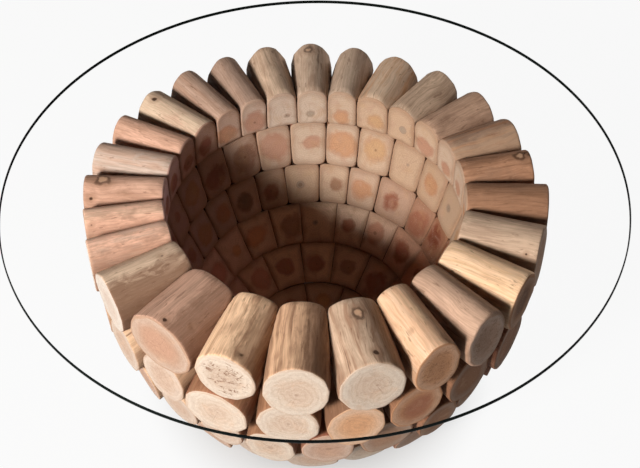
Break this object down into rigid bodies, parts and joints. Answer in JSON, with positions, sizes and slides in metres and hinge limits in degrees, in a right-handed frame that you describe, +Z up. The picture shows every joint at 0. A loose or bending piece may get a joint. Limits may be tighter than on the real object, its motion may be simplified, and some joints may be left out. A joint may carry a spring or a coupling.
{
  "type": "coffee table",
  "caption": "Round coffee table: a loose clear glass disc on a hollow bowl-shaped base of short peeled logs laid in stacked ring courses.",
  "frame": {"origin": "centre of the bowl on the floor that the table stands on", "axes": "+Z up through the middle of the bowl and the glass, -Y towards the viewer of the picture"},
  "size_m": [0.9, 0.9, 0.4312],
  "materials": {
    "rim_wood": "bare peeled log, lightly sanded",
    "course_wood": "bare sawn log ends and planed flats",
    "dowel_wood": "plain turned dowel",
    "glass": "clear, polished edge"
  },
  "bodies": {
    "base": {"course_1_side_dowels": "dowel_wood", "course_1_to_2_dowels": "dowel_wood", "course_2_logs": "course_wood", "course_2_side_dowels": "dowel_wood", "course_2_to_3_dowels": "dowel_wood", "course_3_logs": "course_wood", "course_3_side_dowels": "dowel_wood", "course_3_to_4_dowels": "dowel_wood", "course_4_logs": "course_wood", "course_4_side_dowels": "dowel_wood", "course_4_to_5_dowels": "dowel_wood", "course_5_logs": "course_wood", "course_5_side_dowels": "dowel_wood", "course_5_to_6_dowels": "dowel_wood", "course_6_logs": "course_wood", "course_6_side_dowels": "dowel_wood", "rim_log_01": "rim_wood", "rim_log_02": "rim_wood", "rim_log_03": "rim_wood", "rim_log_04": "rim_wood", "rim_log_05": "rim_wood", "rim_log_06": "rim_wood", "rim_log_07": "rim_wood", "rim_log_08": "rim_wood", "rim_log_09": "rim_wood", "rim_log_10": "rim_wood", "rim_log_11": "rim_wood", "rim_log_12": "rim_wood", "rim_log_13": "rim_wood", "rim_log_14": "rim_wood", "rim_log_15": "rim_wood", "rim_log_16": "rim_wood", "rim_log_17": "rim_wood", "rim_log_18": "rim_wood", "rim_log_19": "rim_wood", "rim_log_20": "rim_wood", "rim_log_21": "rim_wood", "rim_log_22": "rim_wood", "rim_log_23": "rim_wood", "rim_log_24": "rim_wood", "rim_log_25": "rim_wood", "rim_log_26": "rim_wood"},
    "glass": {"glass_top": "glass"}
  },
  "joints": [
    {"name": "glass_lift", "type": "slide", "parent": "base", "child": "glass", "axis": [0, 0, 1], "range_m": [0, 0.2]}
  ]
}
